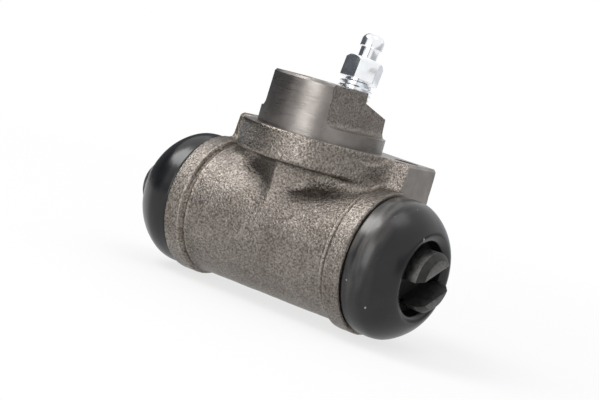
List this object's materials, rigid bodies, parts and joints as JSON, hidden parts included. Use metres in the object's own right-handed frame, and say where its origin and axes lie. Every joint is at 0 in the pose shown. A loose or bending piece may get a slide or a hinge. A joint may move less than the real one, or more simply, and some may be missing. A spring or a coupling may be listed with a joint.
{
  "type": "wheel cylinder",
  "caption": "Drum-brake wheel cylinder: cast barrel under a round flange with lugs, flatted port boss with bleed screw, opposed slotted pistons in black rubber boots.",
  "frame": {"origin": "on the pilot's axis, in the plane of the mounting face", "axes": "+X along the bore, +Z along the pilot away from the barrel, +Y towards the bleed screw"},
  "size_m": [0.0786, 0.0348, 0.0639],
  "materials": {
    "iron": "sand-cast, warm grey, with turned and milled faces",
    "piston": "dark grey, matt",
    "rubber": "black, satin",
    "zinc": "bright zinc plate",
    "spring_steel": "plain"
  },
  "bodies": {
    "housing": {"cylinder_body": "iron", "right_boot": "rubber", "left_boot": "rubber", "return_spring": "spring_steel"},
    "right_set": {"right_piston": "piston", "right_cup_seal": "rubber", "right_cup_expander": "spring_steel"},
    "left_set": {"left_piston": "piston", "left_cup_seal": "rubber", "left_cup_expander": "spring_steel"},
    "bleeder": {"bleed_screw": "zinc"}
  },
  "joints": [
    {"name": "right_piston_slide", "type": "slide", "parent": "housing", "child": "right_set", "axis": [1, 0, 0], "range_m": [-0.002, 0.006], "stiffness_N_per_m": 500, "deforming": ["right_boot", "return_spring"]},
    {"name": "left_piston_slide", "type": "slide", "parent": "housing", "child": "left_set", "axis": [-1, 0, 0], "range_m": [-0.002, 0.006], "stiffness_N_per_m": 500, "deforming": ["left_boot", "return_spring"]},
    {"name": "bleed_screw_turn", "type": "hinge", "parent": "housing", "child": "bleeder", "pos_m": [0, 0.00795, 0.00839], "axis": [0, 0.1736, 0.9848], "range_deg": [0, 270]}
  ]
}
